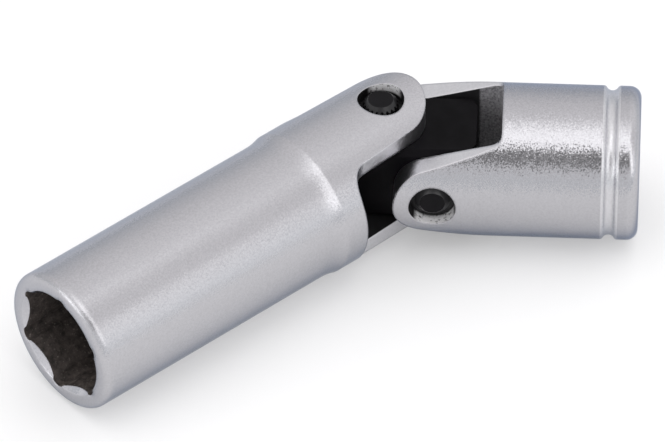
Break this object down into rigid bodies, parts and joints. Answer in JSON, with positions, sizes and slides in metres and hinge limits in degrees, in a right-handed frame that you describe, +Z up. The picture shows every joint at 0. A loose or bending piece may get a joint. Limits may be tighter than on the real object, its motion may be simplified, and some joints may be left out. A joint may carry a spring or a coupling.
{
  "type": "spark plug socket",
  "caption": "Deep hexagon socket with a swivel joint and a square drive end, for turning spark plugs at an angle.",
  "frame": {"origin": "centre of the socket's mouth, on the axis of the hexagon", "axes": "+X along the socket from its mouth to the joint, +Z up as the part lies on a table"},
  "size_m": [0.1141, 0.0534, 0.027],
  "materials": {
    "satin_chrome": "satin chrome plate with a fine blasted grain",
    "black_steel": "black oxide with a thin oil sheen",
    "grip_rubber": "matte"
  },
  "bodies": {
    "socket": {"socket_body": "satin_chrome", "plug_grip": "grip_rubber", "socket_pin": "black_steel"},
    "link": {"swivel_block": "black_steel"},
    "drive": {"drive_body": "satin_chrome", "drive_pin": "black_steel"}
  },
  "joints": [
    {"name": "socket_pivot", "type": "hinge", "parent": "socket", "child": "link", "pos_m": [0.0728, 0, 0], "axis": [0, 0.0175, 0.9998], "range_deg": [-16.73, 103.27]},
    {"name": "drive_pivot", "type": "hinge", "parent": "link", "child": "drive", "pos_m": [0.07961, -0.00641, 0.00011], "axis": [0.6854, 0.7281, -0.0127], "range_deg": [-50.69, 49.31]}
  ]
}
